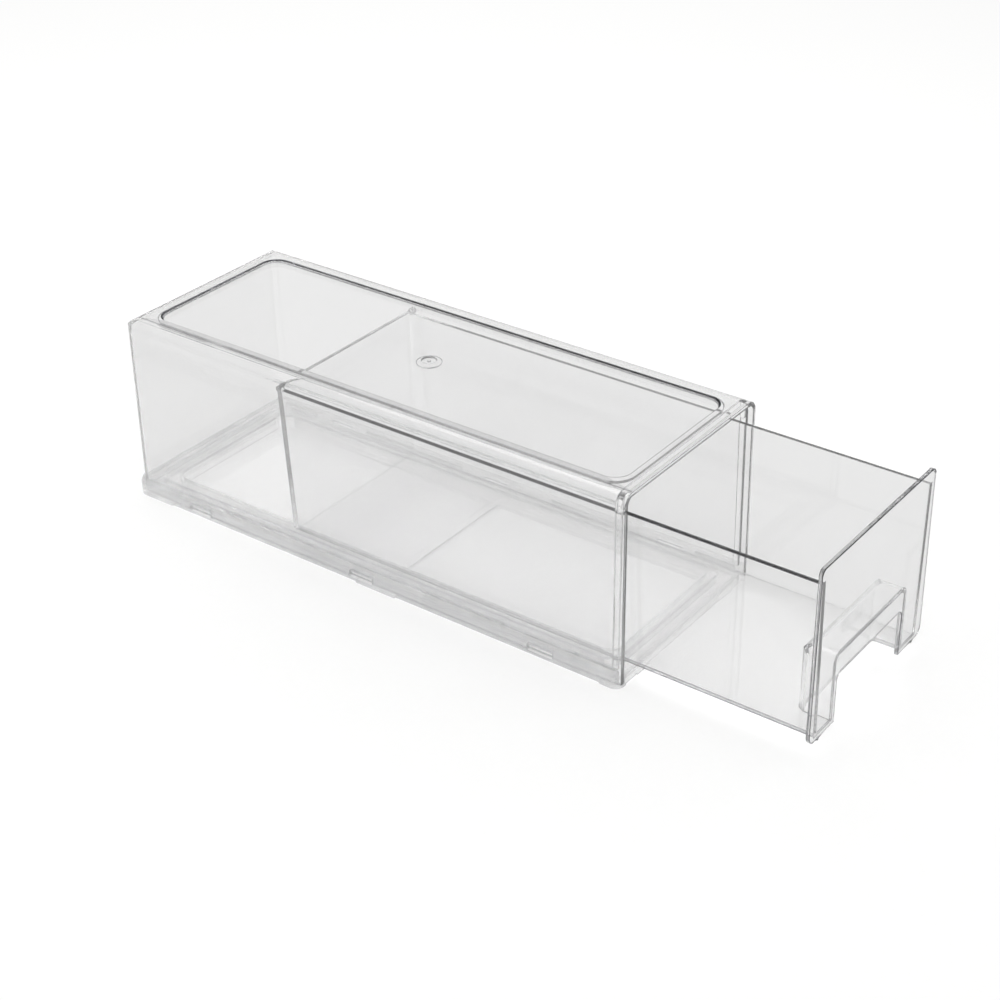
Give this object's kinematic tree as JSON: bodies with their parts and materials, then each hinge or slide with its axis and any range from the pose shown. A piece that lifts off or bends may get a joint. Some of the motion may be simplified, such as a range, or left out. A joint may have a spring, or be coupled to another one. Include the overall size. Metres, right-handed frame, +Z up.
{
  "type": "pull-out drawer organizer",
  "caption": "Clear stackable storage box with an inset pull-out drawer, a finger pocket in its front and a recessed top that locates a unit above.",
  "frame": {"origin": "on the table, under the middle of the shell's length and width", "axes": "+Z up, the drawer pulls out towards -Y, X across the width"},
  "size_m": [0.1182, 0.4084, 0.103],
  "materials": {
    "shell_plastic": "clear polished",
    "base_plastic": "clear polished",
    "drawer_plastic": "clear polished"
  },
  "bodies": {
    "casing": {"casing_shell": "shell_plastic", "base_tray": "base_plastic"},
    "drawer": {"drawer_tray": "drawer_plastic"}
  },
  "joints": [
    {"name": "drawer_slide", "type": "slide", "parent": "casing", "child": "drawer", "axis": [0, -1, 0], "range_m": [-0.0968, 0.198]}
  ]
}
